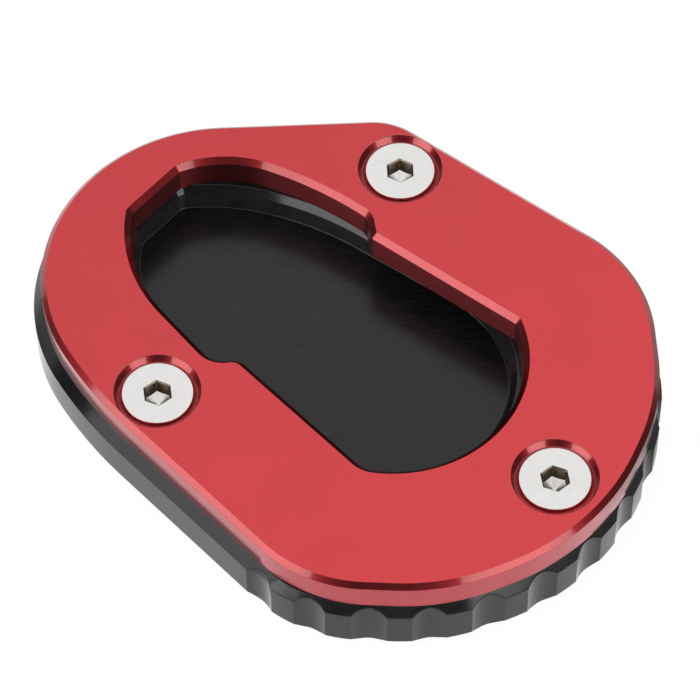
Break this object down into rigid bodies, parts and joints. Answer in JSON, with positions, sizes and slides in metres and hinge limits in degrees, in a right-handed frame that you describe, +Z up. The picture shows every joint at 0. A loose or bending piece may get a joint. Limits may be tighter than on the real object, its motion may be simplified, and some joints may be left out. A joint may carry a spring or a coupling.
{
  "type": "kickstand foot enlarger",
  "caption": "Two-plate foot enlarger that clamps round a motorcycle kickstand's foot and spreads its load on soft ground.",
  "frame": {"origin": "middle of the base plate's outline, on the ground face", "axes": "+Z up from the ground, +X towards the rounded toe with the scalloped grip, +Y towards the straight back edge"},
  "size_m": [0.1062, 0.0976, 0.0159],
  "materials": {
    "black_anodised": "satin black anodised",
    "red_anodised": "satin red anodised",
    "stainless": "stainless, fine satin"
  },
  "bodies": {
    "root": {"base_plate": "black_anodised", "top_plate": "red_anodised", "screws": "stainless"}
  },
  "joints": []
}
